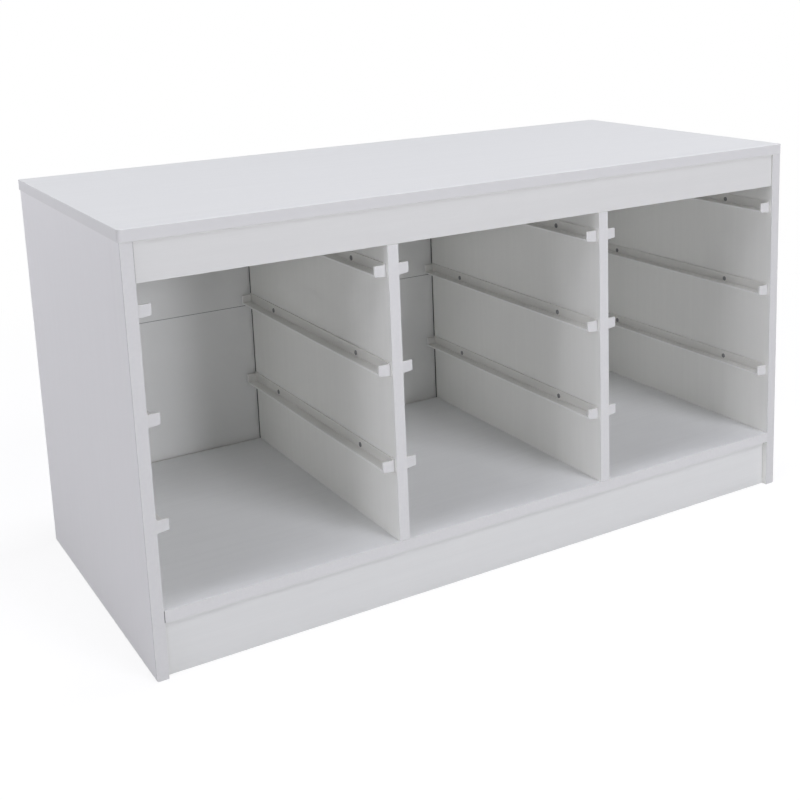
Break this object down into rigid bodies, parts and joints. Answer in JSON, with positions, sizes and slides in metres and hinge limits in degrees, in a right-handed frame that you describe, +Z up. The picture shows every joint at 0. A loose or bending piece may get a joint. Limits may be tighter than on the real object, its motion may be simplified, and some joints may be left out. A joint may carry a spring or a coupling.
{
  "type": "tub storage frame",
  "caption": "Low white board storage frame with open bays side by side and levels of plastic runners for pull-out tubs.",
  "frame": {"origin": "centre of the bounding box's footprint, on the floor", "axes": "+X to the right seen from the front, +Y from the front to the back, +Z up"},
  "size_m": [1.003, 0.468, 0.54],
  "materials": {
    "melamine_board": "wood particle board under white melamine with a fine embossed grain",
    "hardboard": "thin wood fibre board with a smooth white coat",
    "runner_plastic": "white moulded plastic, satin",
    "zinc_fitting": "zinc plated, satin",
    "beech_dowel": "bare beech"
  },
  "bodies": {
    "root": {"top_panel": "melamine_board", "left_side_panel": "melamine_board", "right_side_panel": "melamine_board", "left_divider": "melamine_board", "right_divider": "melamine_board", "bottom_shelf": "melamine_board", "kick_plate": "melamine_board", "front_rail": "melamine_board", "back_board_lower": "hardboard", "back_board_upper": "hardboard", "bay1_left_runner_bottom": "runner_plastic", "bay1_left_runner_middle": "runner_plastic", "bay1_left_runner_top": "runner_plastic", "bay1_right_runner_bottom": "runner_plastic", "bay1_right_runner_middle": "runner_plastic", "bay1_right_runner_top": "runner_plastic", "bay2_left_runner_bottom": "runner_plastic", "bay2_left_runner_middle": "runner_plastic", "bay2_left_runner_top": "runner_plastic", "bay2_right_runner_bottom": "runner_plastic", "bay2_right_runner_middle": "runner_plastic", "bay2_right_runner_top": "runner_plastic", "bay3_left_runner_bottom": "runner_plastic", "bay3_left_runner_middle": "runner_plastic", "bay3_left_runner_top": "runner_plastic", "bay3_right_runner_bottom": "runner_plastic", "bay3_right_runner_middle": "runner_plastic", "bay3_right_runner_top": "runner_plastic", "left_side_cam_front": "zinc_fitting", "left_side_bolt_front": "zinc_fitting", "shelf_left_cam_front": "zinc_fitting", "shelf_left_bolt_front": "zinc_fitting", "left_divider_screw_front": "zinc_fitting", "left_side_cam_rear": "zinc_fitting", "left_side_bolt_rear": "zinc_fitting", "shelf_left_cam_rear": "zinc_fitting", "shelf_left_bolt_rear": "zinc_fitting", "left_divider_screw_rear": "zinc_fitting", "rail_cam_left": "zinc_fitting", "rail_bolt_left": "zinc_fitting", "kick_cam_left": "zinc_fitting", "kick_bolt_left": "zinc_fitting", "right_side_cam_front": "zinc_fitting", "right_side_bolt_front": "zinc_fitting", "shelf_right_cam_front": "zinc_fitting", "shelf_right_bolt_front": "zinc_fitting", "right_divider_screw_front": "zinc_fitting", "right_side_cam_rear": "zinc_fitting", "right_side_bolt_rear": "zinc_fitting", "shelf_right_cam_rear": "zinc_fitting", "shelf_right_bolt_rear": "zinc_fitting", "right_divider_screw_rear": "zinc_fitting", "rail_cam_right": "zinc_fitting", "rail_bolt_right": "zinc_fitting", "kick_cam_right": "zinc_fitting", "kick_bolt_right": "zinc_fitting", "left_divider_dowel_front": "beech_dowel", "left_divider_dowel_rear": "beech_dowel", "right_divider_dowel_front": "beech_dowel", "right_divider_dowel_rear": "beech_dowel"}
  },
  "joints": []
}
